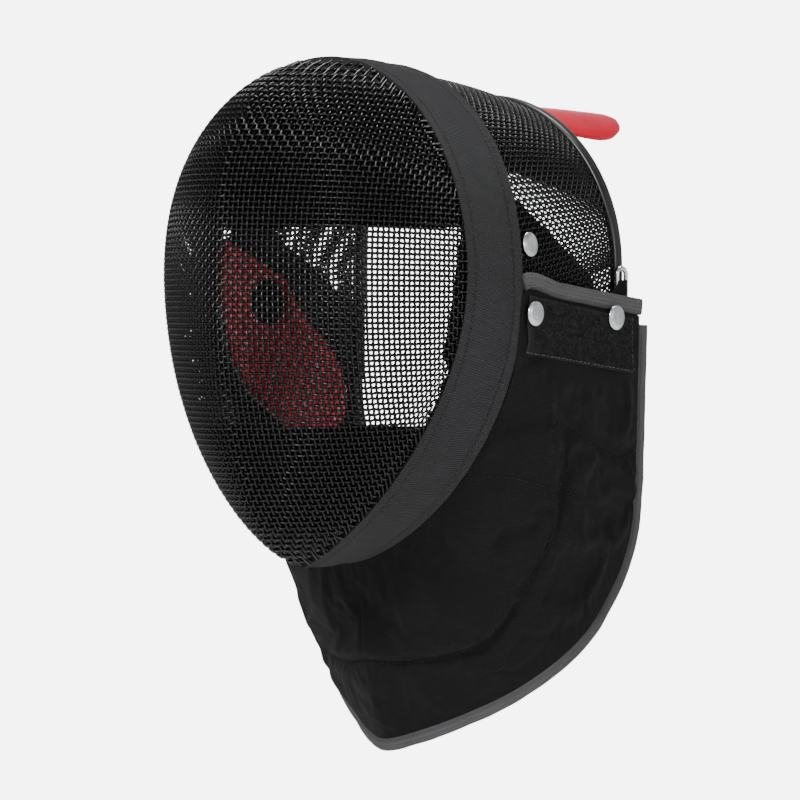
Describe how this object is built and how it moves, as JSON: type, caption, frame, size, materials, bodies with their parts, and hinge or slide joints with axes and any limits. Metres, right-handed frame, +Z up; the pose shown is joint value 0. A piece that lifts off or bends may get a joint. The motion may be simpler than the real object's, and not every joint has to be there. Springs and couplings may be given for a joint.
{
  "type": "fencing mask",
  "caption": "Fencing mask with a creased wire front, wire hood, woven seam band, quilted black bib, red cheek pads and a red spring tongue behind.",
  "frame": {"origin": "where the crown of the head sits, under the top of the hood, on the middle plane", "axes": "+Z up, -Y the way the face looks, +X the wearer's left"},
  "size_m": [0.238, 0.3446, 0.3936],
  "materials": {
    "wire": "black enamelled woven wire",
    "band_cloth": "black woven tape",
    "rim": "black moulded edging",
    "red_vinyl": "glossy red covering",
    "bib_cloth": "black quilted cloth",
    "tape": "dark grey stitched tape",
    "loop": "fuzzy black loop pile",
    "metal": "polished nickel",
    "pad_black": "black padded knit",
    "pad_red": "red padded knit"
  },
  "bodies": {
    "root": {"front_mesh": "wire", "seam_band": "band_cloth", "hood_mesh": "wire", "rear_rim": "rim", "spring_tongue": "red_vinyl", "bib": "bib_cloth", "bib_binding": "tape", "bib_tape_left": "tape", "bib_tape_right": "tape", "loop_patch_left": "loop", "loop_patch_right": "loop", "snap_cap_hood_left": "metal", "snap_cap_hood_right": "metal", "snap_cap_front_left": "metal", "snap_cap_front_right": "metal", "snap_cap_rear_left": "metal", "snap_cap_rear_right": "metal", "strap_ring_left": "metal", "strap_ring_right": "metal", "ring_tab_left": "bib_cloth", "ring_tab_right": "bib_cloth", "forehead_pad": "pad_black", "chin_pad": "pad_black", "crown_pad": "pad_black", "side_lining_left": "pad_black", "side_lining_right": "pad_black", "cheek_pad_left": "pad_red", "cheek_pad_right": "pad_red"}
  },
  "joints": []
}
